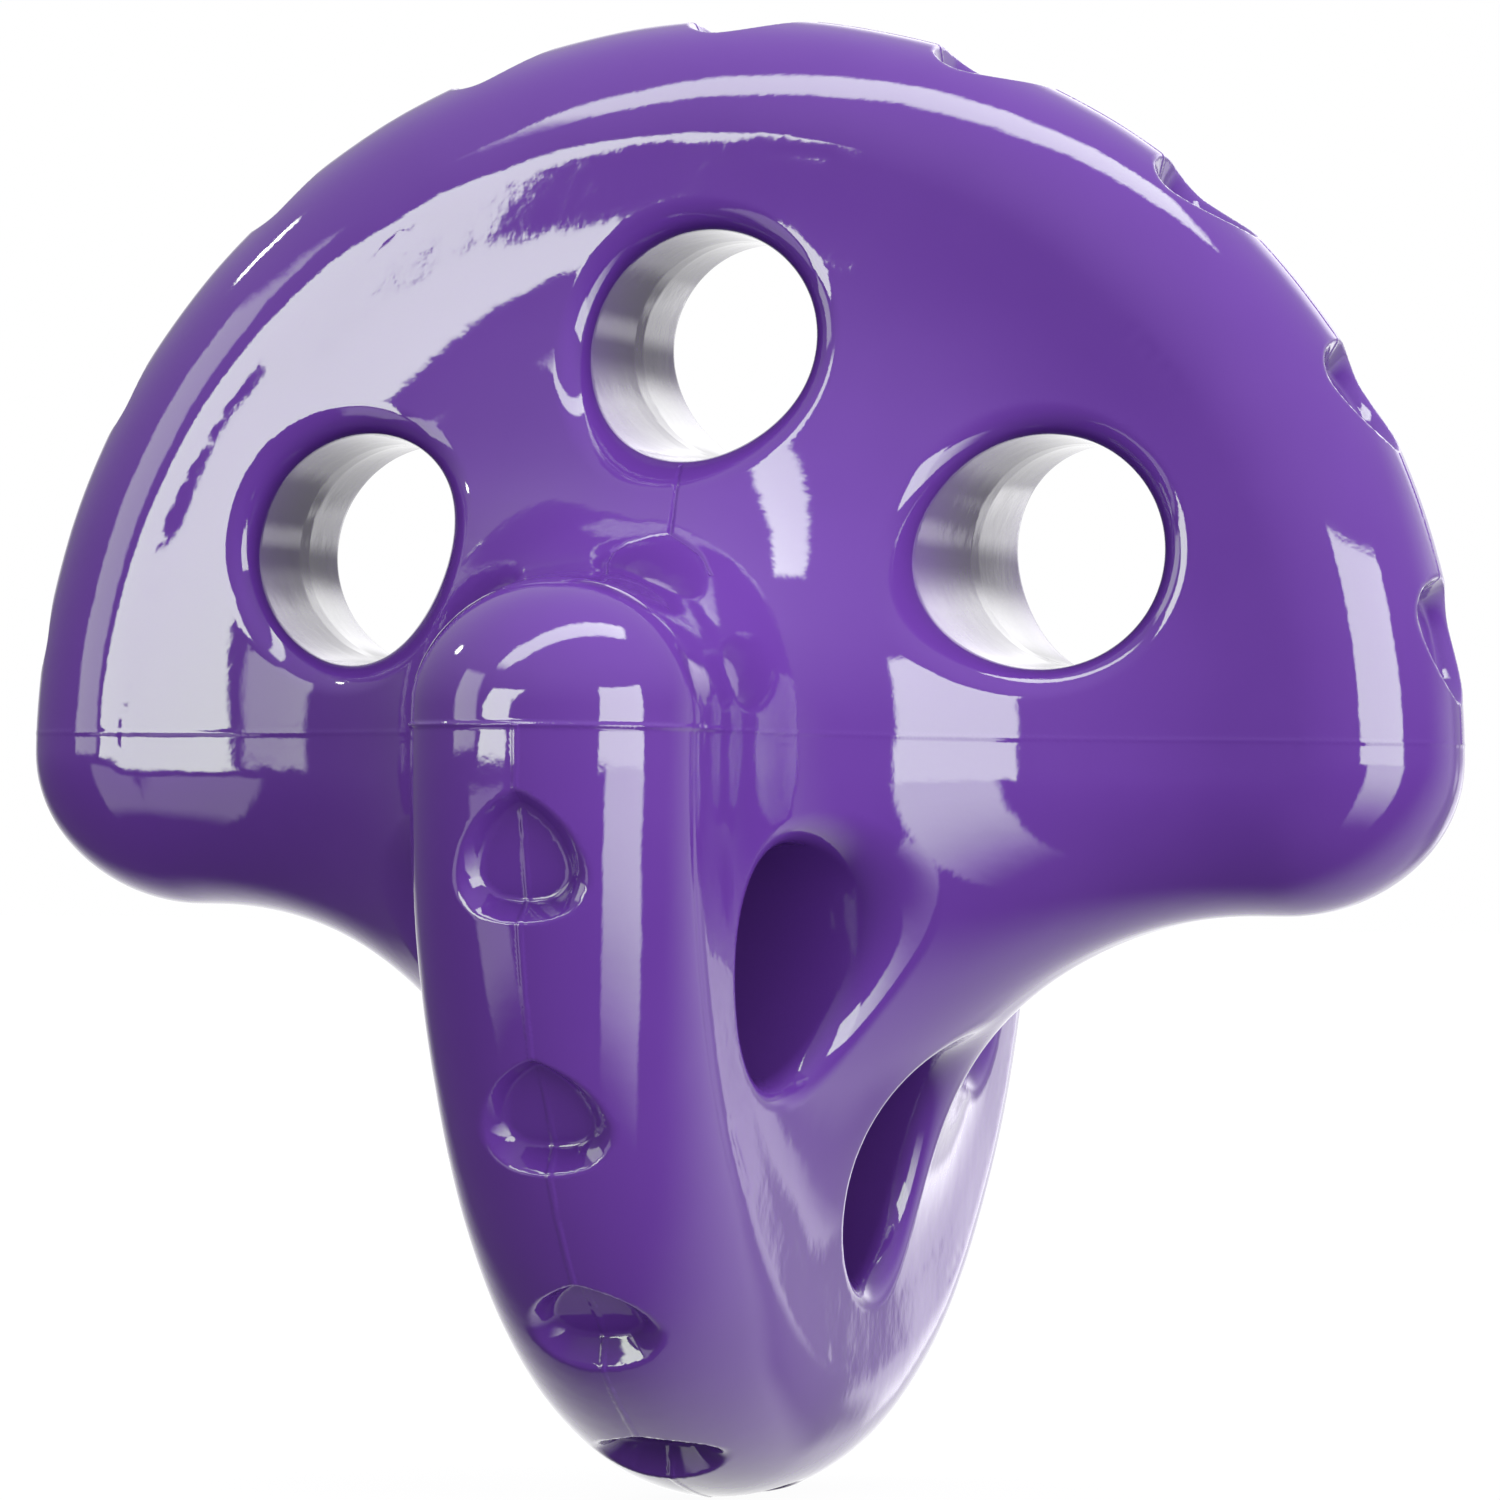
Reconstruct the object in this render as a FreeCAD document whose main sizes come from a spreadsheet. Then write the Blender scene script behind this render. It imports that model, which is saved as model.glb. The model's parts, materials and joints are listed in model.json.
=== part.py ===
import FreeCAD, Part
import Sketcher
import os

# Dog chew toy: two thick half-discs crossed at right angles in one ball outline, moulded in rubber.
# The upper half-disc lies in the XZ plane and the lower one in the YZ plane. Each runs a little past
# the ball's centre, and a wide concave web blends them where they cross. The toy is two mouldings
# bonded face to face on a level joint: upper_half and lower_half.
# Millimetres, +Z up, origin at the centre of the ball outline.

Vector = FreeCAD.Vector

# alias, value, what it is (mm or degrees)
SIZES = [
    ("ball_radius", 40.0, "radius of the ball outline that both half-discs share"),
    ("disc_thickness", 15.2, "thickness of a half-disc between its flat faces"),
    ("disc_overrun", 8.3, "how far a half-disc runs past the ball's centre"),
    ("corner_radius", 8.0, "corner of a half-disc, seen on its face"),
    ("rim_radius", 7.3, "rounding of the rim from each flat face"),
    ("least_rim_land", 0.4, "least that the two roundings leave between them on the rim"),
    ("web_radius", 21.4, "concave blend where the half-discs cross"),
    ("hole_circle_radius", 22.0, "radius of the circle that the holes' centres lie on"),
    ("hole_step_angle", 60.0, "angle between neighbouring holes"),
    ("waist_diameter", 11.9, "hole at its narrowest, where the two core pins meet"),
    ("waist_length", 1.6, "straight length of the waist"),
    ("core_draft", 2.5, "draft of the core pins"),
    ("mouth_radius", 1.0, "rounding of the hole mouths"),
    ("pocket_step_angle", 20.4, "angle between neighbouring rim pockets"),
    ("corner_spacing", 4.5, "between the centres of the pocket's two base corners"),
    ("point_distance", 3.5, "from those two centres to the centre of the pocket's point"),
    ("base_offset", 1.2, "from the pocket's middle to its two base corners' centres"),
    ("pocket_corner", 1.0, "rounding of the pocket floor's corners"),
    ("pocket_depth", 1.5, "depth of the pocket floor at its middle"),
    ("pocket_tilt", 4.0, "slope of the pocket floor, deeper towards its base"),
    ("pocket_draft", 30.0, "slope of the pocket walls"),
    ("seam_height", 1.0, "height of the bonded joint above the ball's centre"),
    ("tool_margin", 5.0, "how far the cutting tools reach past what they cut"),
]
HOLE_STEPS = (-1, 0, 1)                        # steps from the pole of a half-disc
POCKET_STEPS = (-4, -3, -2, -1, 0, 1, 2, 3, 4)

doc = FreeCAD.newDocument("crossed_disc_chew_toy")
sheet = doc.addObject("Spreadsheet::Sheet", "sizes")
for row, (alias, value, meaning) in enumerate(SIZES, start=1):
    sheet.set("A%d" % row, alias)
    sheet.set("B%d" % row, str(value))
    sheet.set("C%d" % row, meaning)
    sheet.setAlias("B%d" % row, alias)
doc.recompute()


def size(alias):
    return float(sheet.get(alias))


def add(kind, label, expressions=None):
    """Add an object and bind its properties to the sheet."""
    item = doc.addObject(kind, label)
    item.Label = label
    for name, expression in (expressions or {}).items():
        item.setExpression(name, expression)
    return item


def combined(kind, label, base, tool):
    """A boolean of two objects."""
    item = add(kind, label)
    item.Base = base
    item.Tool = tool
    item.Refine = True
    return item


def rounded(label, base, radius, is_chosen):
    """Fillet the edges of base that the test is_chosen picks."""
    doc.recompute()
    chosen = [n for n, edge in enumerate(base.Shape.Edges, start=1) if is_chosen(edge)]
    item = add("Part::Fillet", label)
    item.Base = base
    item.Edges = [(n, radius, radius) for n in chosen]
    doc.recompute()
    return item


TURN_OVER = "placement(vector(0; 0; 0); rotation(vector(1; -1; 0); 180))"
TO_MINUS_Y = "rotation(vector(1; 0; 0); 90)"
TO_PLUS_Y = "rotation(vector(1; 0; 0); -90)"


def on_both_discs(label, tool, steps, step_angle):
    """Tools set round each half-disc from its pole. The lower half-disc is the upper one turned over."""
    links = []
    for disc, turn in (("upper", ""), ("lower", TURN_OVER + " * ")):
        for step in steps:
            angle = "90 + %d * sizes.%s" % (step, step_angle)
            swing = "placement(vector(0; 0; 0); rotation(vector(0; -1; 0); %s))" % angle
            link_label = "%s_%s_%d" % (disc, label, len(links))
            link = add("App::Link", link_label, {"Placement": turn + swing})
            link.LinkedObject = tool
            link.LinkTransform = True
            links.append(link)
    group = add("Part::Compound", label + "_tools")
    group.Links = links
    return group


# One half-disc: a disc cut off below its centre, with round corners and a nearly full round rim.
TOLERANCE = 0.01
half_thickness = size("disc_thickness") / 2
rim_rounding = min(size("rim_radius"), half_thickness - size("least_rim_land") / 2)
disc_blank = add("Part::Cylinder", "disc_blank", {
    "Radius": "sizes.ball_radius",
    "Height": "sizes.disc_thickness",
    "Placement": "placement(vector(0; sizes.disc_thickness / 2; 0); %s)" % TO_MINUS_Y,
})
keep_above = add("Part::Box", "keep_above_overrun", {
    "Length": "2 * (sizes.ball_radius + sizes.tool_margin)",
    "Width": "sizes.disc_thickness + 2 * sizes.tool_margin",
    "Height": "sizes.ball_radius + sizes.disc_overrun + sizes.tool_margin",
    "Placement.Base.x": "-sizes.ball_radius - sizes.tool_margin",
    "Placement.Base.y": "-sizes.disc_thickness / 2 - sizes.tool_margin",
    "Placement.Base.z": "-sizes.disc_overrun",
})
disc_cut_off = combined("Part::Common", "disc_cut_off", disc_blank, keep_above)


def is_corner(edge):
    box = edge.BoundBox
    runs_across = box.YLength > size("disc_thickness") - TOLERANCE and box.XLength + box.ZLength < TOLERANCE
    return runs_across and abs(box.ZMin + size("disc_overrun")) < TOLERANCE


def is_face_outline(edge):
    box = edge.BoundBox
    return box.YLength < TOLERANCE and abs(abs(box.YMin) - half_thickness) < TOLERANCE


disc_with_corners = rounded("disc_with_corners", disc_cut_off, size("corner_radius"), is_corner)
upper_disc = rounded("upper_disc", disc_with_corners, rim_rounding, is_face_outline)
lower_disc = add("App::Link", "lower_disc", {"Placement": TURN_OVER})
lower_disc.LinkedObject = upper_disc
lower_disc.LinkTransform = True


# The two half-discs crossed, and the web that blends every edge where they meet.
def is_crossing(edge):
    box = edge.BoundBox
    reach_x = max(abs(box.XMin), abs(box.XMax))
    reach_y = max(abs(box.YMin), abs(box.YMax))
    return max(reach_x, reach_y) < half_thickness + TOLERANCE


crossed_discs = combined("Part::Fuse", "crossed_discs", upper_disc, lower_disc)
webbed_discs = rounded("webbed_discs", crossed_discs, size("web_radius"), is_crossing)

# Through holes: two core pins meet at a straight waist in the middle of the half-disc.
pin_parts = [add("Part::Cylinder", "pin_waist", {
    "Radius": "sizes.waist_diameter / 2",
    "Height": "sizes.waist_length",
    "Placement": "placement(vector(sizes.hole_circle_radius; sizes.waist_length / 2; 0); %s)" % TO_MINUS_Y,
})]
for label, sign, direction in (("front_pin", "-", TO_MINUS_Y), ("back_pin", "", TO_PLUS_Y)):
    start = "vector(sizes.hole_circle_radius; %ssizes.waist_length / 2; 0)" % sign
    pin_parts.append(add("Part::Cone", label, {
        "Radius1": "sizes.waist_diameter / 2",
        "Radius2": "sizes.waist_diameter / 2 + (sizes.disc_thickness / 2 + sizes.web_radius)"
                   " * tan(sizes.core_draft)",
        "Height": "sizes.disc_thickness / 2 + sizes.web_radius",
        "Placement": "placement(%s; %s)" % (start, direction),
    }))
core_pins = add("Part::MultiFuse", "core_pins")
core_pins.Shapes = pin_parts
core_pins.Refine = True
hole_tools = on_both_discs("hole", core_pins, HOLE_STEPS, "hole_step_angle")
drilled_discs = combined("Part::Cut", "drilled_discs", webbed_discs, hole_tools)


def is_mouth(edge):
    """A hole's edge lies on its tapered wall, and outside the flat face of its own half-disc."""
    box = edge.BoundBox
    beyond_y = min(abs(box.YMin), abs(box.YMax)) > half_thickness - TOLERANCE and box.YMin * box.YMax > 0
    beyond_x = min(abs(box.XMin), abs(box.XMax)) > half_thickness - TOLERANCE and box.XMin * box.XMax > 0
    tapered = drilled_discs.Shape.ancestorsOfType(edge, Part.Face)
    walls = [face for face in tapered if face.Surface.TypeId == "Part::GeomCone"]
    if len(walls) != 1:
        return False
    return beyond_y if abs(walls[0].Surface.Axis.y) > 0.5 else beyond_x


moulded_discs = rounded("moulded_discs", drilled_discs, size("mouth_radius"), is_mouth)

# Rim pocket: a rounded triangle sunk in the rim, its point away from the half-disc's pole. The corner
# centres stay in line as the walls slope out from the floor, so only the rounding grows.
TILT = "rotation(vector(0; -1; 0); sizes.pocket_tilt)"
OUTWARDS = "rotation(vector(1; 1; 1); 120)"
FLOOR = "placement(vector(sizes.ball_radius - sizes.pocket_depth; 0; 0); %s * %s)" % (TILT, OUTWARDS)
RISE = "(sizes.pocket_depth + sizes.tool_margin)"


def corner_triangle(label, rise):
    """Triangle through the centres of the pocket's three corners, at a height above its floor."""
    lift = "placement(vector(0; 0; %s); rotation(vector(0; 0; 1); 0))" % rise
    sketch = add("Sketcher::SketchObject", label, {"Placement": FLOOR + " * " + lift})
    half_base = size("corner_spacing") / 2
    base = size("base_offset")
    point = Vector(0, base - size("point_distance"), 0)
    ends = [Vector(-half_base, base, 0), Vector(half_base, base, 0), point]
    for start, end in zip(ends, ends[1:] + ends[:1]):
        sketch.addGeometry(Part.LineSegment(start, end), False)
    for line in range(3):
        sketch.addConstraint(Sketcher.Constraint("Coincident", line, 2, (line + 1) % 3, 1))
    sketch.addConstraint(Sketcher.Constraint("Symmetric", 0, 1, 0, 2, -2))
    sketch.addConstraint(Sketcher.Constraint("PointOnObject", 1, 2, -2))
    for kind, between, alias in (
            ("DistanceX", (0, 1, 0, 2), "corner_spacing"),
            ("DistanceY", (-1, 1, 0, 1), "base_offset"),
            ("DistanceY", (1, 2, 0, 1), "point_distance")):
        number = sketch.addConstraint(Sketcher.Constraint(kind, *between, size(alias)))
        sketch.setExpression("Constraints[%d]" % number, "sizes." + alias)
    return sketch


outlines = []
for label, rise in (("pocket_floor", "0"), ("pocket_mouth", RISE)):
    outline = add("Part::Offset2D", label, {
        "Value": "sizes.pocket_corner + %s * tan(sizes.pocket_draft)" % rise,
    })
    outline.Source = corner_triangle(label + "_corners", rise)
    outlines.append(outline)
pocket = add("Part::Loft", "pocket")
pocket.Sections = outlines
pocket.Solid = True
pocket.Ruled = True
pocket_tools = on_both_discs("pocket", pocket, POCKET_STEPS, "pocket_step_angle")
toy = combined("Part::Cut", "toy", moulded_discs, pocket_tools)

# The level joint splits the toy into its two bonded mouldings.
above_seam = add("Part::Box", "above_seam", {
    "Length": "2 * (sizes.ball_radius + sizes.tool_margin)",
    "Width": "2 * (sizes.ball_radius + sizes.tool_margin)",
    "Height": "sizes.ball_radius + sizes.tool_margin",
    "Placement.Base.x": "-sizes.ball_radius - sizes.tool_margin",
    "Placement.Base.y": "-sizes.ball_radius - sizes.tool_margin",
    "Placement.Base.z": "sizes.seam_height",
})
upper_half = combined("Part::Common", "upper_half", toy, above_seam)
lower_half = combined("Part::Cut", "lower_half", toy, above_seam)

doc.recompute()
for item in doc.Objects:
    if "Invalid" in item.State or "Error" in item.State:
        raise RuntimeError("%s did not recompute: %s" % (item.Label, item.State))
for item in (upper_half, lower_half):
    if item.Shape.isNull() or not item.Shape.isValid() or len(item.Shape.Solids) != 1:
        raise RuntimeError("%s is not one valid solid" % item.Label)

os.makedirs("parts", exist_ok=True)
for item in (upper_half, lower_half):
    item.Shape.exportStep("parts/%s.step" % item.Label)
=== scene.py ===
"""A moulded violet rubber dog toy: two half-discs crossed in one ball outline.

The toy's surface is one signed distance field in millimetres. It is meshed once, finely where the
surface is fine, and cut at the level joint into the two mouldings that stand for the frame's nodes.
"""
import json
from math import cos, radians, sin, tan

import bmesh
import bpy
import numpy as np
import openvdb
from mathutils import Matrix, Vector


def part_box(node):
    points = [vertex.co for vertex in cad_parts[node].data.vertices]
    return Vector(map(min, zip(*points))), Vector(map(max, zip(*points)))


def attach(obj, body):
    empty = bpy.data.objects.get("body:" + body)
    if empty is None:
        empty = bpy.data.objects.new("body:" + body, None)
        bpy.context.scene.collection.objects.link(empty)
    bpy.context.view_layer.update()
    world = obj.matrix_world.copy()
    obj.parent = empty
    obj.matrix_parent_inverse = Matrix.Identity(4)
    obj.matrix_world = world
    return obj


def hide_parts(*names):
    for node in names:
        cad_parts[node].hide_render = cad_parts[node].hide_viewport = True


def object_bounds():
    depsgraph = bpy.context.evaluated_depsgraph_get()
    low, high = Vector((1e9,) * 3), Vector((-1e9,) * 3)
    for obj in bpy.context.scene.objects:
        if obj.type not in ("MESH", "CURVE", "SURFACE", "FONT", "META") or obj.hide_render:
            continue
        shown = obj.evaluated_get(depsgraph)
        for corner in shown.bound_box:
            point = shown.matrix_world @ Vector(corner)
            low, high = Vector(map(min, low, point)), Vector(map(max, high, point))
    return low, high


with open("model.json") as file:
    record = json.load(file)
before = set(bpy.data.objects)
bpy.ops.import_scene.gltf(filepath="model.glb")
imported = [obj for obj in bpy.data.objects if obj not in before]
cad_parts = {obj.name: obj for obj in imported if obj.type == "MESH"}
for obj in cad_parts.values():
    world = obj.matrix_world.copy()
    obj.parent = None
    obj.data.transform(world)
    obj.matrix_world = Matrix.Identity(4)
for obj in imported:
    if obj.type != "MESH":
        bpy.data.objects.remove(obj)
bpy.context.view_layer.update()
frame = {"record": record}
MM = 0.001

# ---- sizes that the frame gives, in millimetres ----
mounts = {mount["name"]: mount for mount in frame["record"]["mounts"]}
pole_hole = mounts["upper_pole_hole"]
BALL_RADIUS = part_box("upper_half")[1].x / MM
SEAM_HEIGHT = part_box("upper_half")[0].z / MM
HOLE_CIRCLE = pole_hole["pos_m"][2] / MM
WAIST_RADIUS = pole_hole["dims"]["r_mm"]
WAIST_LENGTH = pole_hole["dims"]["length_mm"]

# ---- sizes of the mouldings, in millimetres and degrees ----
DISC_THICKNESS = 15.2
UPPER_CORNERS = (8.25, 8.2)      # how far a half-disc runs past the centre, and its corner radius
LOWER_CORNERS = (8.7, 6.6)
RIM_RADIUS = 7.3
WEB_RADIUS = 21.4
HOLE_STEP = 60.0
CORE_DRAFT = 2.5
MOUTH_RADIUS = 1.7

UPPER_POCKET_STEP = 20.0
LOWER_POCKET_STEP = 20.3
POCKET_REACH = 4                # pockets on each side of the pole one
POCKET_DEPTH = 1.6
POCKET_TILT = 5.5
POCKET_SIDE_RADIUS = 4.4        # the bulging sides of the pocket's floor
POCKET_SIDE_CENTRE = (2.0, -0.9)
POCKET_SIDE_RUN = 1.15          # how far the side walls lean outwards, floor to lip
POCKET_BASE_RADIUS = 6.0
POCKET_BASE_EDGE = 2.1
POCKET_BASE_RUN = 0.8
POCKET_CORNER_ROUND = 1.2
POCKET_FLOOR_ROUND = 0.2
POCKET_LEAST_WALL = POCKET_DEPTH / 3    # a pocket's walls are lower where the rim falls away
POCKET_LIP_ROUND = 0.14

FACE_CROWN = 0.25               # the flat faces stand this proud inside the outer land
LAND_START = 29.2               # where the faces start to fall away towards the rim
LAND_SLOPE = 2.4
LAND_SOFTNESS = 0.5
LAND_WOBBLES = ((0.6, 7, 1.0), (0.2, 17, 2.0))  # height, count per turn, phase
LAND_GROOVE = (32.7, 0.025, 0.35)   # radius, depth and width of the broken line round the land
GROOVE_PATTERN = ((5, 1), (13, 2))  # count per turn and phase of the two waves that break it
GROOVE_LEVEL = 0.5
GROOVE_SOFTNESS = 0.1
WEB_SWELL = 2.6                 # the web is fuller in one corner of the cross
WEB_SWELL_CORNER = (-3, -3, 14)     # where x, y and z are all below these
WEB_SWELL_SOFTNESS = 3

SEAM_BEAD_HEIGHT = 0.02
SEAM_BEAD_RISE = 0.085          # the bead stands this much prouder across the lower half-disc's front end
SEAM_BEAD_WIDTH = 0.12
SEAM_BEAD_FRONT = -30           # the y behind which the rise fades out
SEAM_BEAD_FADE = 2
PARTING_RIDGE_HEIGHT = 0.04
PARTING_RIDGE_HALF_WIDTH = 0.15
PARTING_RIDGE_EDGE = 0.04
PARTING_RIDGE_BAND = 6          # it shows only this near the ball outline: on the rims and in their pockets
PARTING_RIDGE_FADE = 1
RIM_LINE = (33.9, 0.022, 0.22)  # radius, depth and width of the line inside the lower half-disc's rim
RIM_LINE_SIDE = RIM_RADIUS - 1  # only farther out to the side than this
RIM_LINE_LOWEST = BALL_RADIUS / 2   # how far below the centre it fades out
RIM_LINE_FADES = (0.3, 4, 0.5)  # at the joint, at its lowest and towards the middle
MARK_DEPTH = 0.06
MARK_WIDTH = 1.3
MARK_FADE = 1                   # only on the front face
MARKS = [[(-29.3, 12.1), (-26.8, 17.6), (-24.7, 20.0)]]     # a sink mark, seen from the front
CREASE_DEPTH = 0.1
CREASE_WIDTH = 0.1
# the weld line above the nose, seen from above: a stem and two branches
CREASES = [
    [(0.3, -12.6), (1.0, -15.9), (1.6, -18.7)],
    [(1.6, -18.7), (0.7, -19.1), (-0.3, -20.0), (-0.8, -21.2), (-0.6, -22.8), (0.2, -25.5)],
    [(1.6, -18.7), (3.6, -19.9), (4.6, -21.3)],
]
WAVE_HEIGHT = 0.012
WAVE_LENGTHS = (5.0, 14.0)
WAVE_COUNT = 24

# ---- mesh density, in millimetres ----
START_STEP = 1.3
COARSE_EDGE = 0.72
MOUTH_EDGE = 0.3
POCKET_EDGE = 0.25
LINE_EDGE = 0.14
EDGE_GROWTH = 0.5               # how fast the edges may grow away from fine places
SPLIT_ROUNDS = 4
SPLIT_ABOVE = 1.35              # an edge this many times its wanted length is halved
EVENING_STEP = 0.6              # the share of the way to its neighbours' middle that a point slides
SNAP_REACH = 0.3                # points within this share of their shortest edge move onto the joint
LEAST_STEEPNESS = 0.25          # of the field squared, so that no step towards the surface runs away
LONGEST_STEP = 0.5


# ======== the surface as a distance field ========
def round_max(a, b, radius):
    """Where both fields are inside, with the outer edge rounded."""
    over_a = np.maximum(a + radius, 0)
    over_b = np.maximum(b + radius, 0)
    return np.minimum(-radius, np.maximum(a, b)) + np.hypot(over_a, over_b)


def round_min(a, b, radius):
    """Where either field is inside, with the inner corner filled to a radius."""
    under_a = np.maximum(radius - a, 0)
    under_b = np.maximum(radius - b, 0)
    return np.maximum(radius, np.minimum(a, b)) - np.hypot(under_a, under_b)


def soft_step(distance, width):
    """One where the distance is well below nothing, zero well above, over about the width."""
    return 0.5 - 0.5 * np.tanh(distance / width)


def turned_over(x, y, z):
    """The lower half-disc is the upper one turned half round about the level line x = -y."""
    return -y, -x, -z


def half_disc(x, y, z, corners):
    """The upper half-disc: its outline, its sloping outer land and its rounded rim."""
    overrun, corner_radius = corners
    from_axis = np.hypot(x, z)
    outline = round_max(from_axis - BALL_RADIUS, -z - overrun, corner_radius)
    turn = np.arctan2(z, x)
    wobble = sum(height * np.sin(count * turn + phase) for height, count, phase in LAND_WOBBLES)
    past_land = LAND_SOFTNESS * np.logaddexp(0, (from_axis - LAND_START - wobble) / LAND_SOFTNESS)
    groove_radius, groove_depth, groove_width = LAND_GROOVE
    (slow, slow_phase), (fast, fast_phase) = GROOVE_PATTERN
    pattern = np.sin(slow * turn + slow_phase) * np.sin(fast * turn + fast_phase)
    broken = soft_step(GROOVE_LEVEL - pattern, GROOVE_SOFTNESS)
    groove = groove_depth * broken * np.exp(-((from_axis - groove_radius) / groove_width) ** 2)
    half_thickness = DISC_THICKNESS / 2 + FACE_CROWN - past_land * tan(radians(LAND_SLOPE)) - groove
    return round_max(outline, np.abs(y) - half_thickness, RIM_RADIUS)


def web_radius(x, y, z):
    """The blend where the half-discs cross, fuller at the front left below the upper holes."""
    corner = 1
    for place, limit in zip((x, y, z), WEB_SWELL_CORNER):
        corner = corner * soft_step(place - limit, WEB_SWELL_SOFTNESS)
    return WEB_RADIUS + WEB_SWELL * corner


def crossed_discs(x, y, z):
    under = turned_over(x, y, z)
    upper = half_disc(x, y, z, UPPER_CORNERS)
    lower = half_disc(*under, LOWER_CORNERS)
    return round_min(upper, lower, web_radius(x, y, z))


def near_step(x, z, step, reach):
    """The point (x, z) seen from the nearest of the steps round the pole, as (outwards, along)."""
    from_pole = np.degrees(np.arctan2(z, x)) - 90
    from_pole = (from_pole + 180) % 360 - 180
    nearest = np.clip(np.round(from_pole / step), -reach, reach)
    angle = np.radians(90 + nearest * step)
    outwards = x * np.cos(angle) + z * np.sin(angle)
    along = z * np.cos(angle) - x * np.sin(angle)
    return outwards, along


def holes(x, y, z):
    """Drafted through holes: two core pins that meet at a straight waist."""
    outwards, along = near_step(x, z, HOLE_STEP, 1)
    draft = radians(CORE_DRAFT)
    radius = WAIST_RADIUS + np.maximum(np.abs(y) - WAIST_LENGTH / 2, 0) * tan(draft)
    return (np.hypot(outwards - HOLE_CIRCLE, along) - radius) * cos(draft)


def pocket_outline(across, along, rise):
    """The pocket seen from outside: a pick with bulging sides, wider as the wall rises to the lip."""
    to_point = -along
    centre_across, centre_along = POCKET_SIDE_CENTRE
    side_radius = POCKET_SIDE_RADIUS + rise * POCKET_SIDE_RUN
    side = np.hypot(np.abs(across) + centre_across, to_point - centre_along) - side_radius
    base_centre = POCKET_BASE_RADIUS - POCKET_BASE_EDGE
    base_radius = POCKET_BASE_RADIUS + rise * POCKET_BASE_RUN
    base = np.hypot(across, to_point - base_centre) - base_radius
    base = np.where(to_point < base_centre, base, -base_radius)
    return round_max(side, base, POCKET_CORNER_ROUND)


def pockets(x, y, z, step):
    """The rim pockets: a tilted floor and walls that lean outwards up to the lip."""
    outwards, along = near_step(x, z, step, POCKET_REACH)
    tilt = radians(POCKET_TILT)
    depth = BALL_RADIUS - outwards
    to_floor = (POCKET_DEPTH - depth) * cos(tilt) + along * sin(tilt)
    wall_height = np.maximum(POCKET_DEPTH - y ** 2 / (2 * RIM_RADIUS), POCKET_LEAST_WALL)
    steepness = wall_height / np.hypot(wall_height, POCKET_SIDE_RUN)
    wall = pocket_outline(y, along, to_floor / wall_height) * steepness
    return round_max(wall, -to_floor, POCKET_FLOOR_ROUND)


def bare_toy(x, y, z):
    """The crossed half-discs with their web, holes and rim pockets."""
    under = turned_over(x, y, z)
    toy = crossed_discs(x, y, z)
    for place, step in (((x, y, z), UPPER_POCKET_STEP), (under, LOWER_POCKET_STEP)):
        toy = round_max(toy, -holes(*place), MOUTH_RADIUS)
        toy = round_max(toy, -pockets(*place, step), POCKET_LIP_ROUND)
    return toy


def parting_offset(x, y, z):
    """How far a point is from its moulding's parting plane."""
    return np.where(z > SEAM_HEIGHT, y, x)


def line_distance(across, up, lines):
    """Distance in the plane to the nearest of some bent lines."""
    nearest = np.full(len(across), 2 * BALL_RADIUS)
    for points in lines:
        for (start_across, start_up), (end_across, end_up) in zip(points, points[1:]):
            run_across, run_up = end_across - start_across, end_up - start_up
            share = (across - start_across) * run_across + (up - start_up) * run_up
            share = np.clip(share / (run_across ** 2 + run_up ** 2), 0, 1)
            beside = across - start_across - share * run_across
            above = up - start_up - share * run_up
            nearest = np.minimum(nearest, np.hypot(beside, above))
    return nearest


def crease_distance(x, y, z):
    """Distance to the weld line, far away below the joint."""
    return np.where(z > SEAM_HEIGHT, line_distance(x, y, CREASES), 2 * BALL_RADIUS)


def rim_line(x, y, z):
    """Depth of the fine line inside the lower half-disc's rim."""
    radius, depth, width = RIM_LINE
    seam_fade, lowest_fade, side_fade = RIM_LINE_FADES
    below_seam = soft_step(z - SEAM_HEIGHT, seam_fade) * soft_step(-z - RIM_LINE_LOWEST, lowest_fade)
    side = soft_step(RIM_LINE_SIDE - np.abs(x), side_fade) * below_seam
    return depth * side * np.exp(-((np.hypot(y, z) - radius) / width) ** 2)


def sink_marks(x, y, z):
    """Depth of the shallow marks that shrinking left in the front face."""
    to_mark = line_distance(x, z, MARKS)
    return MARK_DEPTH * soft_step(y, MARK_FADE) * np.exp(-(to_mark / MARK_WIDTH) ** 2)


rng = np.random.default_rng(7)
wave_directions = rng.normal(size=(WAVE_COUNT, 3))
wave_directions /= np.linalg.norm(wave_directions, axis=1, keepdims=True)
wave_numbers = 2 * np.pi / rng.uniform(*WAVE_LENGTHS, size=(WAVE_COUNT, 1))
wave_phases = rng.uniform(0, 2 * np.pi, size=WAVE_COUNT)


def waves(points):
    """Slight unevenness of moulded rubber."""
    phases = points @ (wave_directions * wave_numbers).T + wave_phases
    return np.sin(phases).sum(axis=1) * WAVE_HEIGHT / WAVE_COUNT ** 0.5


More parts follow.
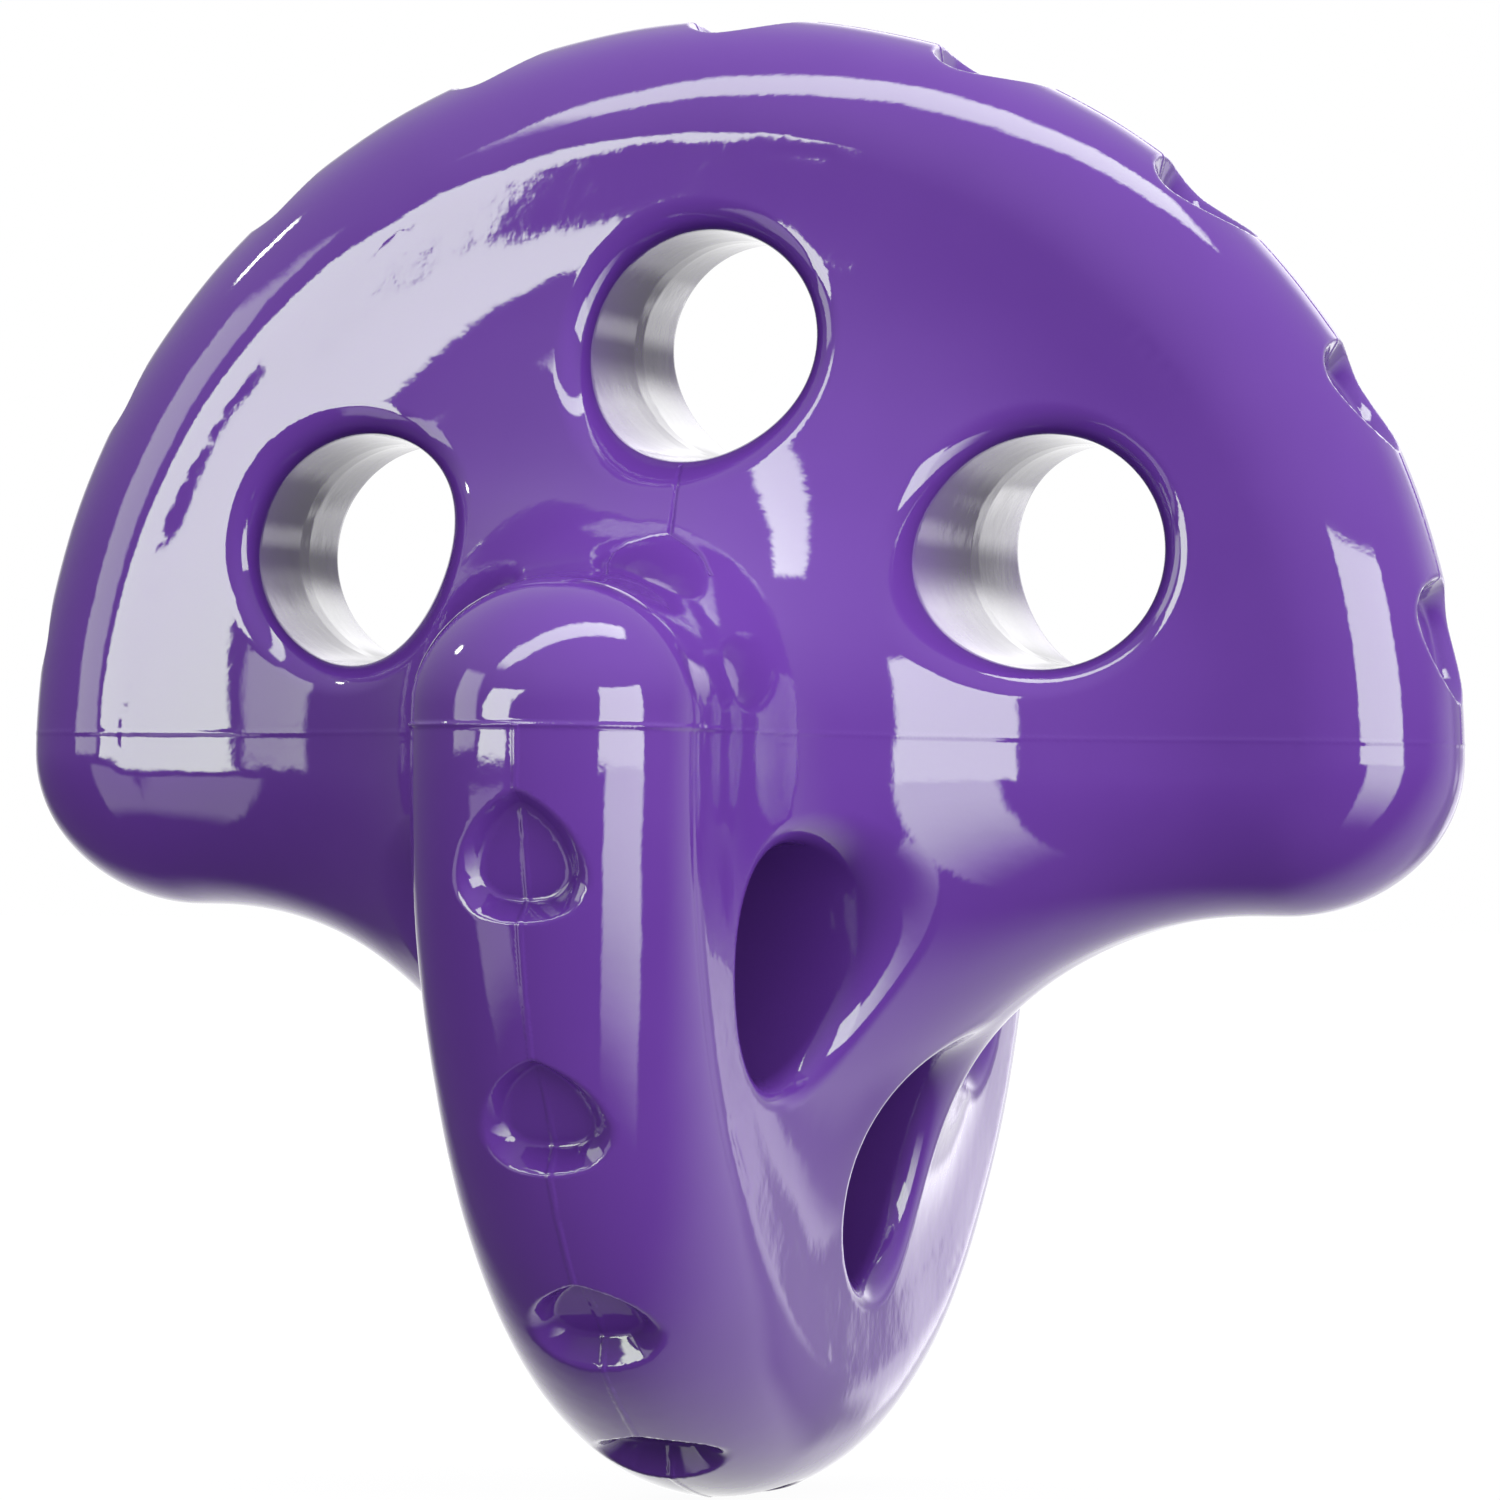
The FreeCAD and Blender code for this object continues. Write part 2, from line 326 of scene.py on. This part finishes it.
def toy_field(points):
    """Signed distance to the finished surface, in millimetres."""
    x, y, z = points.T
    toy = bare_toy(x, y, z)
    seam_bead = np.exp(-((z - SEAM_HEIGHT) / SEAM_BEAD_WIDTH) ** 2)
    seam_bead *= SEAM_BEAD_HEIGHT + SEAM_BEAD_RISE * soft_step(y - SEAM_BEAD_FRONT, SEAM_BEAD_FADE)
    beside = np.abs(parting_offset(x, y, z)) - PARTING_RIDGE_HALF_WIDTH
    from_centre = np.sqrt(x ** 2 + y ** 2 + z ** 2)
    on_rim = soft_step(BALL_RADIUS - PARTING_RIDGE_BAND - from_centre, PARTING_RIDGE_FADE)
    parting_ridge = PARTING_RIDGE_HEIGHT * on_rim * soft_step(beside, PARTING_RIDGE_EDGE)
    crease = CREASE_DEPTH * np.exp(-(crease_distance(x, y, z) / CREASE_WIDTH) ** 2)
    sunk = crease + rim_line(x, y, z) + sink_marks(x, y, z)
    return toy - seam_bead - parting_ridge + sunk - waves(points)


def slope(points, reach=0.01):
    """The field's gradient."""
    columns = []
    for axis in np.eye(3):
        columns.append(toy_field(points + reach * axis) - toy_field(points - reach * axis))
    return np.stack(columns, axis=1) / (2 * reach)


def to_surface(points, rounds=2):
    """The points moved onto the surface along the field's gradient."""
    for _ in range(rounds):
        gradient = slope(points)
        steepness = np.maximum((gradient ** 2).sum(axis=1), LEAST_STEEPNESS)
        step = np.clip(toy_field(points) / steepness, -LONGEST_STEP, LONGEST_STEP)
        points = points - gradient * step[:, None]
    return points


# ======== the mesh ========
def wanted_edge(points):
    """The edge length that the surface needs at each point."""
    x, y, z = points.T
    under = turned_over(x, y, z)
    edge = np.full(len(points), COARSE_EDGE)

    def refine(distance, finest):
        np.minimum(edge, finest + EDGE_GROWTH * np.maximum(distance, 0), out=edge)

    discs = crossed_discs(x, y, z)
    for place, step in (((x, y, z), UPPER_POCKET_STEP), (under, LOWER_POCKET_STEP)):
        to_pocket = pockets(*place, step)
        refine(np.abs(holes(*place)) + np.abs(discs) - 1.3 * MOUTH_RADIUS, MOUTH_EDGE)
        refine(np.abs(to_pocket) + np.abs(discs) - 2 * POCKET_LIP_ROUND, POCKET_EDGE)
        refine(np.maximum(to_pocket, -discs - 2 * POCKET_DEPTH), POCKET_EDGE)
    refine(np.abs(z - SEAM_HEIGHT) - 2 * SEAM_BEAD_WIDTH, LINE_EDGE)
    ridge = np.abs(parting_offset(x, y, z)) - PARTING_RIDGE_HALF_WIDTH
    refine(ridge - 2 * PARTING_RIDGE_EDGE, LINE_EDGE)
    refine(crease_distance(x, y, z) - 2 * CREASE_WIDTH, LINE_EDGE)
    line_radius, _, line_width = RIM_LINE
    on_lower_rim = np.where((z < SEAM_HEIGHT) & (np.abs(x) > RIM_LINE_SIDE), 0, BALL_RADIUS)
    refine(np.abs(np.hypot(y, z) - line_radius) - line_width + on_lower_rim, LINE_EDGE)
    return edge


def coarse_mesh():
    """A closed quad net round the field, cut into triangles."""
    reach = BALL_RADIUS + 3 * START_STEP
    ticks = np.arange(-reach, reach + START_STEP, START_STEP)
    grid_points = np.stack(np.meshgrid(ticks, ticks, ticks, indexing="ij"), axis=-1)
    values = toy_field(grid_points.reshape(-1, 3)).reshape(grid_points.shape[:3])
    grid = openvdb.FloatGrid(background=float(values.max()))
    grid.copyFromArray(values.astype(np.float32))
    corners, quads = grid.convertToQuads(isovalue=0.0)
    points = corners.astype(float) * START_STEP - reach
    quads = quads[:, ::-1].astype(np.int64)
    triangles = np.concatenate([quads[:, [0, 1, 2]], quads[:, [0, 2, 3]]])
    return to_surface(points), triangles


def edges_of(triangles, point_count):
    """(edges, the three edges of each triangle): edge k joins corners k and k + 1."""
    ends = np.sort(triangles[:, [[0, 1], [1, 2], [2, 0]]].reshape(-1, 2), axis=1)
    keys, places = np.unique(ends[:, 0] * point_count + ends[:, 1], return_inverse=True)
    edges = np.stack([keys // point_count, keys % point_count], axis=1)
    return edges, places.reshape(-1, 3)


def split_long_edges(points, triangles):
    """Halve every edge that is too long, and the longest edge of each triangle that this touches."""
    edges, sides = edges_of(triangles, len(points))
    middles = points[edges].mean(axis=1)
    lengths = np.linalg.norm(points[edges[:, 0]] - points[edges[:, 1]], axis=1)
    split = lengths > SPLIT_ABOVE * wanted_edge(middles)
    longest = sides[np.arange(len(sides)), lengths[sides].argmax(axis=1)]
    while True:
        touched = split[sides].any(axis=1) & ~split[longest]
        if not touched.any():
            break
        split[longest[touched]] = True
    new_point = np.full(len(edges), -1)
    new_point[split] = len(points) + np.arange(split.sum())
    points = np.concatenate([points, to_surface(middles[split])])
    middle = new_point[sides]
    count = (middle >= 0).sum(axis=1)
    pieces = [triangles[count == 0]]

    def corners_from(rows, first):
        """Corners a, b, c and the middles of ab, bc, ca, counted from the given corner."""
        turn = (first[:, None] + np.arange(3)) % 3
        picked = np.arange(len(rows))[:, None]
        return np.concatenate([triangles[rows][picked, turn], middle[rows][picked, turn]], axis=1).T

    rows = np.flatnonzero(count == 1)
    a, b, c, ab, _, _ = corners_from(rows, (middle[rows] >= 0).argmax(axis=1))
    pieces += [np.stack([a, ab, c], axis=1), np.stack([ab, b, c], axis=1)]
    rows = np.flatnonzero(count == 2)
    a, b, c, ab, bc, _ = corners_from(rows, ((middle[rows] < 0).argmax(axis=1) + 1) % 3)
    pieces.append(np.stack([ab, b, bc], axis=1))
    from_c = np.linalg.norm(points[ab] - points[c], axis=1)
    from_a = np.linalg.norm(points[a] - points[bc], axis=1)
    cut_from_c = (from_c < from_a)[:, None]
    for piece, other in (((a, ab, c), (a, ab, bc)), ((ab, bc, c), (a, bc, c))):
        pieces.append(np.where(cut_from_c, np.stack(piece, axis=1), np.stack(other, axis=1)))
    rows = np.flatnonzero(count == 3)
    a, b, c, ab, bc, ca = corners_from(rows, np.zeros(len(rows), int))
    for piece in ((a, ab, ca), (ab, b, bc), (ca, bc, c), (ab, bc, ca)):
        pieces.append(np.stack(piece, axis=1))
    return points, np.concatenate(pieces)


def evened(points, triangles, rounds=2):
    """Slide the points along the surface towards the middle of their neighbours."""
    edges, _ = edges_of(triangles, len(points))
    ends = np.concatenate([edges, edges[:, ::-1]])
    neighbours = np.bincount(ends[:, 0], minlength=len(points))
    for _ in range(rounds):
        middle = np.stack([
            np.bincount(ends[:, 0], points[ends[:, 1], axis], len(points)) for axis in range(3)
        ], axis=1) / neighbours[:, None]
        normals = slope(points)
        normals /= np.linalg.norm(normals, axis=1, keepdims=True)
        step = EVENING_STEP * (middle - points)
        step -= normals * (step * normals).sum(axis=1, keepdims=True)
        points = to_surface(points + step, rounds=1)
    return points


def toy_mesh():
    """(points in millimetres, triangles) of the whole toy, closed and finest where the surface is."""
    points, triangles = coarse_mesh()
    points = evened(points, triangles, rounds=4)
    for _ in range(SPLIT_ROUNDS):
        points, triangles = split_long_edges(points, triangles)
        points = evened(points, triangles)
    return snapped_to_seam(to_surface(points), triangles), triangles


def snapped_to_seam(points, triangles):
    """Points very near the joint move onto it along the surface, so that the cut leaves no slivers."""
    edges, _ = edges_of(triangles, len(points))
    lengths = np.linalg.norm(points[edges[:, 0]] - points[edges[:, 1]], axis=1)
    shortest = np.full(len(points), np.inf)
    for end in (0, 1):
        np.minimum.at(shortest, edges[:, end], lengths)
    near = np.abs(points[:, 2] - SEAM_HEIGHT) < SNAP_REACH * shortest
    for _ in range(3):
        moved = points[near]
        moved[:, 2] = SEAM_HEIGHT
        gradient = slope(moved)
        gradient[:, 2] = 0
        steepness = np.maximum((gradient ** 2).sum(axis=1), LEAST_STEEPNESS)
        points[near] = moved - gradient * (toy_field(moved) / steepness)[:, None]
    return points


def moulding(name, whole, node, keeps_above):
    """The part of the whole toy above or below its joint, capped flat, in place of a frame node."""
    shape = bmesh.new()
    shape.from_mesh(whole)
    everything = shape.verts[:] + shape.edges[:] + shape.faces[:]
    cut = bmesh.ops.bisect_plane(
        shape, geom=everything, dist=1e-8, plane_co=(0, 0, SEAM_HEIGHT * MM), plane_no=(0, 0, 1),
        clear_inner=keeps_above, clear_outer=not keeps_above)
    rim = [item for item in cut["geom_cut"] if isinstance(item, bmesh.types.BMEdge)]
    rim = [edge for edge in rim if edge.is_boundary]
    cap = bmesh.ops.edgeloop_fill(shape, edges=rim)["faces"]
    bmesh.ops.recalc_face_normals(shape, faces=shape.faces[:])
    for face in shape.faces:
        face.smooth = True
    for face in cap:
        face.smooth = False
    mesh = bpy.data.meshes.new(name)
    shape.to_mesh(mesh)
    shape.free()
    shade_from_field(mesh)
    piece = bpy.data.objects.new(name, mesh)
    bpy.context.collection.objects.link(piece)
    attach(piece, "root")
    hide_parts(node)
    return piece


def shade_from_field(mesh):
    """Corner normals follow the field itself, apart from the flat cap's own."""
    points = np.empty(len(mesh.vertices) * 3)
    mesh.vertices.foreach_get("co", points)
    normals = slope(points.reshape(-1, 3) / MM)
    normals /= np.linalg.norm(normals, axis=1, keepdims=True)
    corner_points = np.empty(len(mesh.loops), int)
    mesh.loops.foreach_get("vertex_index", corner_points)
    corner_normals = normals[corner_points]
    for face in mesh.polygons:
        if not face.use_smooth:
            corners = slice(face.loop_start, face.loop_start + face.loop_total)
            corner_normals[corners] = face.normal
    mesh.normals_split_custom_set(corner_normals.tolist())


def whole_toy():
    """The toy before it is cut, as one Blender mesh in metres."""
    points, triangles = toy_mesh()
    mesh = bpy.data.meshes.new("whole_toy")
    mesh.vertices.add(len(points))
    mesh.vertices.foreach_set("co", (points * MM).ravel())
    mesh.loops.add(triangles.size)
    mesh.loops.foreach_set("vertex_index", triangles.ravel().astype(np.int32))
    mesh.polygons.add(len(triangles))
    mesh.polygons.foreach_set("loop_start", np.arange(0, triangles.size, 3, dtype=np.int32))
    mesh.update(calc_edges=True)
    return mesh


whole = whole_toy()
halves = [
    moulding("upper_moulding", whole, "upper_half", keeps_above=True),
    moulding("lower_moulding", whole, "lower_half", keeps_above=False),
]
bpy.data.meshes.remove(whole)


# ======== material ========
DARKER_VIOLET = (109, 62, 167)
LIGHTER_VIOLET = (117, 69, 175)
CLOUD_SCALE = 60.0
CLOUD_SHARES = (0.3, 0.7)       # where the noise gives the darker and the lighter violet
GLOSS_ROUGHNESS = 0.05
GLOSS_IOR = 1.5
PEEL = (600.0, 0.7, 0.00002)    # scale, strength and depth in metres of the faint orange peel
GRAIN = (6000.0, 0.15, 0.000004)
# Painted shade: the base colour is darkened in holes, pockets and crevices where other parts of the toy are
# near.
SHADE_PAINT_REACH = 0.015            # painted shade: how near other parts of the toy darken the colour, in metres
SHADE_PAINT_SAMPLES = 8
SHADE_PAINT_RANGE = (0.2, 0.85)      # openness, from darkest painted shade to unchanged
SHADE_PAINT_SHARES = (0.4, 1.0)      # share of the colour that is left at each, as painted shade


def add_node(tree, kind, inputs=None, **settings):
    node = tree.nodes.new(kind)
    for name, value in settings.items():
        setattr(node, name, value)
    for name, value in (inputs or {}).items():
        if isinstance(value, bpy.types.NodeSocket):
            tree.links.new(value, node.inputs[name])
        else:
            node.inputs[name].default_value = value
    return node


def linear(red, green, blue):
    """An sRGB colour of 0 to 255 as linear RGBA."""
    channels = [c / 255 for c in (red, green, blue)]
    return [c / 12.92 if c <= 0.04045 else ((c + 0.055) / 1.055) ** 2.4 for c in channels] + [1]


def violet_rubber():
    """Glossy moulded rubber: faint clouds, orange peel and grain, with shade painted darker into its
    hollows.
    """
    material = bpy.data.materials.new("violet_rubber")
    material.use_nodes = True
    tree = material.node_tree
    tree.nodes.clear()
    place = add_node(tree, "ShaderNodeTexCoord").outputs["Object"]

    clouds = add_node(tree, "ShaderNodeTexNoise", {
        "Vector": place, "Scale": CLOUD_SCALE, "Detail": 3.0, "Roughness": 0.5})
    colour = add_node(tree, "ShaderNodeValToRGB", {"Fac": clouds.outputs["Fac"]})
    ramp = colour.color_ramp.elements
    for stop, position, violet in zip(ramp, CLOUD_SHARES, (DARKER_VIOLET, LIGHTER_VIOLET)):
        stop.position = position
        stop.color = linear(*violet)

    peel_scale, peel_strength, peel_depth = PEEL
    orange_peel = add_node(tree, "ShaderNodeTexNoise", {
        "Vector": place, "Scale": peel_scale, "Detail": 3.0, "Roughness": 0.5})
    peel_bump = add_node(tree, "ShaderNodeBump", {
        "Strength": peel_strength, "Distance": peel_depth, "Height": orange_peel.outputs["Fac"]})
    grain_scale, grain_strength, grain_depth = GRAIN
    grain = add_node(tree, "ShaderNodeTexNoise", {
        "Vector": place, "Scale": grain_scale, "Detail": 1.0, "Roughness": 0.5})
    grain_bump = add_node(tree, "ShaderNodeBump", {
        "Strength": grain_strength, "Distance": grain_depth, "Height": grain.outputs["Fac"],
        "Normal": peel_bump.outputs["Normal"]})

    # painted shade: the colour darkens where the toy's own parts are near, standing in for shade in holes
    # and pockets
    openness = add_node(tree, "ShaderNodeAmbientOcclusion", {
        "Distance": SHADE_PAINT_REACH}, samples=SHADE_PAINT_SAMPLES, only_local=True).outputs["AO"]
    unshaded_share = add_node(tree, "ShaderNodeMapRange", {
        "Value": openness, "From Min": SHADE_PAINT_RANGE[0], "From Max": SHADE_PAINT_RANGE[1],
        "To Min": SHADE_PAINT_SHARES[0], "To Max": SHADE_PAINT_SHARES[1]}).outputs["Result"]
    painted_shade_colour = add_node(tree, "ShaderNodeVectorMath", {
        0: colour.outputs["Color"], "Scale": unshaded_share}, operation="SCALE").outputs["Vector"]
    rubber = add_node(tree, "ShaderNodeBsdfPrincipled", {
        "Base Color": painted_shade_colour,
        "Roughness": GLOSS_ROUGHNESS,
        "IOR": GLOSS_IOR,
        "Normal": grain_bump.outputs["Normal"],
    })
    add_node(tree, "ShaderNodeOutputMaterial", {"Surface": rubber.outputs["BSDF"]})
    return material


rubber = violet_rubber()
for piece in halves:
    piece.data.materials.append(rubber)


# ======== camera ========
CAMERA_AZIMUTH = radians(16.5)
CAMERA_ELEVATION = radians(-0.83)
CAMERA_ROLL = radians(0.7)
CAMERA_DISTANCE = 0.5852
FOCAL_LENGTH = 259.4
SENSOR_WIDTH = 36.0
CAMERA_SHIFT = (0.0072, 0.0052)


def direction(azimuth, elevation):
    """From the toy outwards: azimuth 0 is towards -Y and 90 towards +X, in radians."""
    level = cos(elevation)
    return Vector((sin(azimuth) * level, -cos(azimuth) * level, sin(elevation)))


def add_camera():
    """The photograph's view, which looks at the toy almost level from a little to its right."""
    data = bpy.data.cameras.new("camera")
    data.lens = FOCAL_LENGTH
    data.sensor_width = SENSOR_WIDTH
    data.shift_x, data.shift_y = CAMERA_SHIFT
    data.clip_start = 0.01
    data.clip_end = 100.0
    camera = bpy.data.objects.new("camera", data)
    bpy.context.collection.objects.link(camera)
    back = direction(CAMERA_AZIMUTH, CAMERA_ELEVATION)
    level_right = Vector((cos(CAMERA_AZIMUTH), sin(CAMERA_AZIMUTH), 0))
    level_up = back.cross(level_right)
    right = cos(CAMERA_ROLL) * level_right + sin(CAMERA_ROLL) * level_up
    up = back.cross(right)
    turn = Matrix((right, up, back)).transposed().to_4x4()
    camera.matrix_world = Matrix.Translation(back * CAMERA_DISTANCE) @ turn
    bpy.context.scene.camera = camera


add_camera()


# ======== floor, world and lights ========
FLOOR_SIZE = 60.0
FLOOR_GREY = 0.42
FLOOR_GLOW = 1.1                # what the camera sees of the floor, where no shadow falls
FLOOR_GLOW_SHARE = 0.88

# What the gloss sees, in degrees: azimuths, elevations, how soft the sides, bottom and top are, how
# much the sides lean, and radiance.
PANELS = {
    "left_softbox": ((-42, -19), (-1.5, 19), (0.7, 0.7, 0.7), 0.55, 13.6),
    "left_strip": ((-72, -50), (0, 30), (1.5, 1, 2), 0.0, 4.5),
    "left_spill": ((-56, -26), (-33, -5), (2, 6, 1), 0.0, 2.0),
    "right_softbox": ((46, 83), (-2, 22), (0.8, 0.5, 0.8), 0.0, 12.0),
    "right_spill": ((50, 81), (-28, -2), (1.5, 23, 0.5), 0.2, 9.0),
    "rear_flag": ((146, 172), (-25, 9), (5, 5, 4), 0.0, -0.6),
    "rear_left_glow": ((154, 160.5), (-7, -0.5), (1.2, 2.5, 2.5), 0.0, 0.9),
    "rear_right_glow": ((165.0, 178), (-12, 0), (1.5, 3, 3), 0.0, 1.0),
    "left_spark": ((-101, -97), (33, 37), (1, 1, 1), 0.0, 40.0),
}
# The ceiling strip, seen flat overhead: between which sums of the steps to the right and to the front
# for each step up, and between which differences.
CEILING_SIDES = (0.10, 0.44)
CEILING_ENDS = (-1.7, 0.85)
CEILING_SIDE_SOFTNESS = 0.03
CEILING_END_SOFTNESS = (0.3, 0.05)
CEILING_LOWEST = (0.3, 0.4)       # steps up over which the strip comes in above the horizon
CEILING_RADIANCE = 11.0
PANEL_COLOUR = (0.89, 1.0, 0.76)  # takes the lilac out of the lamps' images on the violet
TINTED_RADIANCES = (2.0, 6.0)     # from which radiance the lamps take on that colour, and fully
FRONT_RISE = (-15.0, 45.0)        # elevations between which the front of the room brightens
FRONT_RADIANCES = (0.12, 0.7)
REAR_SIDES = (-0.8, 0.0)          # steps to the right between which the rear of the room dims
REAR_RADIANCES = (1.7, 1.2)
REAR_WEIGHTS = (-0.45, 0.28)      # the rear begins farther back overhead and nearer on the right
REAR_EDGE = (0.5, 1.0)
BACKDROP_RADIANCE = 1.8           # what the gloss sees straight behind the toy, above its foot
BACKDROP_SIDES = (-0.3, 0.25)
BACKDROP_SOFTNESS = 0.1
BACKDROP_FOOT = (7.0, 15.0)       # elevations between which it comes up
KEY_DIRECTION = (57.5, 0.0)       # where the light on matt surfaces is strongest
KEY_RADIANCE = 4.4
KEY_EDGE = 0.77                   # cosine of the angle at which it has faded
SKY_RADIANCE = 1.4                # at the zenith, falling to nothing at the horizon


def maths(tree, operation, *values):
    """The result of one maths node."""
    return add_node(tree, "ShaderNodeMath", dict(enumerate(values)), operation=operation).outputs[0]


def ramp_up(tree, value, start, end, low=0.0, high=1.0):
    """A smooth rise from low to high while the value goes from start to end."""
    return add_node(tree, "ShaderNodeMapRange", {
        "Value": value, "From Min": start, "From Max": end, "To Min": low, "To Max": high,
    }, interpolation_type="SMOOTHSTEP").outputs["Result"]


def between(tree, value, limits, low_softness, high_softness):
    """One between the limits and zero outside them, with soft ends."""
    low, high = limits
    rise = ramp_up(tree, value, low - low_softness, low + low_softness)
    fall = ramp_up(tree, value, high - high_softness, high + high_softness, 1.0, 0.0)
    return maths(tree, "MULTIPLY", rise, fall)


def gloss_light(tree, looks):
    """Radiance of the studio as glossy rays find it along a direction."""
    to_right, to_back, to_top = add_node(tree, "ShaderNodeSeparateXYZ", {"Vector": looks}).outputs
    to_front = maths(tree, "MULTIPLY", to_back, -1.0)
    azimuth = maths(tree, "DEGREES", maths(tree, "ARCTAN2", to_right, to_front))
    elevation = maths(tree, "DEGREES", maths(tree, "ARCSINE", to_top))
    front = ramp_up(tree, elevation, *FRONT_RISE, *FRONT_RADIANCES)
    rear = ramp_up(tree, to_right, *REAR_SIDES, *REAR_RADIANCES)
    behind = between(tree, to_right, BACKDROP_SIDES, BACKDROP_SOFTNESS, BACKDROP_SOFTNESS)
    above_foot = ramp_up(tree, elevation, *BACKDROP_FOOT, 0.0, BACKDROP_RADIANCE)
    rear = maths(tree, "ADD", rear, maths(tree, "MULTIPLY", behind, above_foot))
    top_weight, right_weight = REAR_WEIGHTS
    rearwards = maths(tree, "ADD", to_back, maths(tree, "MULTIPLY", to_top, top_weight))
    rearwards = maths(tree, "ADD", rearwards, maths(tree, "MULTIPLY", to_right, right_weight))
    is_rear = ramp_up(tree, rearwards, *REAR_EDGE)
    change = maths(tree, "MULTIPLY", is_rear, maths(tree, "SUBTRACT", rear, front))
    total = maths(tree, "ADD", front, change)
    for sides, ends, (side_softness, bottom_softness, top_softness), lean, radiance in PANELS.values():
        above = maths(tree, "SUBTRACT", elevation, sum(ends) / 2)
        leaning = maths(tree, "SUBTRACT", azimuth, maths(tree, "MULTIPLY", above, lean))
        across = between(tree, leaning, sides, side_softness, side_softness)
        upright = between(tree, elevation, ends, bottom_softness, top_softness)
        panel = maths(tree, "MULTIPLY", across, upright)
        total = maths(tree, "ADD", total, maths(tree, "MULTIPLY", panel, radiance))
    up = maths(tree, "MAXIMUM", to_top, 0.1)
    along_right = maths(tree, "DIVIDE", to_right, up)
    along_front = maths(tree, "DIVIDE", to_front, up)
    across = maths(tree, "ADD", along_right, along_front)
    side = between(tree, across, CEILING_SIDES, CEILING_SIDE_SOFTNESS, CEILING_SIDE_SOFTNESS)
    lengthwise = maths(tree, "SUBTRACT", along_right, along_front)
    end = between(tree, lengthwise, CEILING_ENDS, *CEILING_END_SOFTNESS)
    strip = maths(tree, "MULTIPLY", maths(tree, "MULTIPLY", side, end), CEILING_RADIANCE)
    overhead = ramp_up(tree, to_top, *CEILING_LOWEST)
    return maths(tree, "ADD", total, maths(tree, "MULTIPLY", strip, overhead))


def matt_light(tree, looks):
    """Radiance of the soft light that falls on matt surfaces along a direction."""
    key = direction(*(radians(angle) for angle in KEY_DIRECTION))
    towards_key = add_node(tree, "ShaderNodeVectorMath", {0: looks, 1: key}, operation="DOT_PRODUCT")
    _, _, to_top = add_node(tree, "ShaderNodeSeparateXYZ", {"Vector": looks}).outputs
    strongest = ramp_up(tree, towards_key.outputs["Value"], KEY_EDGE, 1.0, 0.0, KEY_RADIANCE)
    return maths(tree, "ADD", strongest, ramp_up(tree, to_top, 0.0, 1.0, 0.0, SKY_RADIANCE))


def add_floor():
    """A pale floor at the toy's foot, which keeps its shadow and which the gloss looks through."""
    low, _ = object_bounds()
    bpy.ops.mesh.primitive_plane_add(size=FLOOR_SIZE, location=(0, 0, low.z))
    floor = bpy.context.object
    floor.name = "floor"
    material = bpy.data.materials.new("pale_floor")
    material.use_nodes = True
    tree = material.node_tree
    tree.nodes.clear()
    rays = add_node(tree, "ShaderNodeLightPath")
    matt = add_node(tree, "ShaderNodeBsdfDiffuse", {"Color": (FLOOR_GREY, FLOOR_GREY, FLOOR_GREY, 1)})
    glow = add_node(tree, "ShaderNodeEmission", {"Color": (1, 1, 1, 1), "Strength": FLOOR_GLOW})
    lit = add_node(tree, "ShaderNodeMixShader", {
        0: maths(tree, "MULTIPLY", rays.outputs["Is Camera Ray"], FLOOR_GLOW_SHARE),
        1: matt.outputs["BSDF"], 2: glow.outputs["Emission"]})
    clear = add_node(tree, "ShaderNodeBsdfTransparent")
    look = add_node(tree, "ShaderNodeMixShader", {
        0: rays.outputs["Is Glossy Ray"], 1: lit.outputs["Shader"], 2: clear.outputs["BSDF"]})
    add_node(tree, "ShaderNodeOutputMaterial", {"Surface": look.outputs["Shader"]})
    floor.data.materials.append(material)


def add_world():
    """White to the camera, the studio's lamps to the gloss and soft light to matt surfaces."""
    world = bpy.data.worlds.new("white_studio")
    world.use_nodes = True
    tree = world.node_tree
    tree.nodes.clear()
    rays = add_node(tree, "ShaderNodeLightPath")
    looks = add_node(tree, "ShaderNodeTexCoord").outputs["Generated"]
    radiance = gloss_light(tree, looks)
    tint = add_node(tree, "ShaderNodeMix", data_type="RGBA")
    tree.links.new(ramp_up(tree, radiance, *TINTED_RADIANCES), tint.inputs["Factor"])
    tint.inputs[6].default_value = (1, 1, 1, 1)
    tint.inputs[7].default_value = (*PANEL_COLOUR, 1)
    gloss = add_node(tree, "ShaderNodeBackground", {"Color": tint.outputs[2], "Strength": radiance})
    matt = add_node(tree, "ShaderNodeBackground", {
        "Color": (1, 1, 1, 1), "Strength": matt_light(tree, looks)})
    lighting = add_node(tree, "ShaderNodeMixShader", {
        0: rays.outputs["Is Glossy Ray"], 1: matt.outputs[0], 2: gloss.outputs[0]})
    white = add_node(tree, "ShaderNodeBackground", {"Color": (1, 1, 1, 1), "Strength": 1.0})
    result = add_node(tree, "ShaderNodeMixShader", {
        0: rays.outputs["Is Camera Ray"], 1: lighting.outputs[0], 2: white.outputs[0]})
    add_node(tree, "ShaderNodeOutputWorld", {"Surface": result.outputs[0]})
    bpy.context.scene.world = world


add_floor()
add_world()

scene = bpy.context.scene
scene.view_settings.view_transform = "Standard"
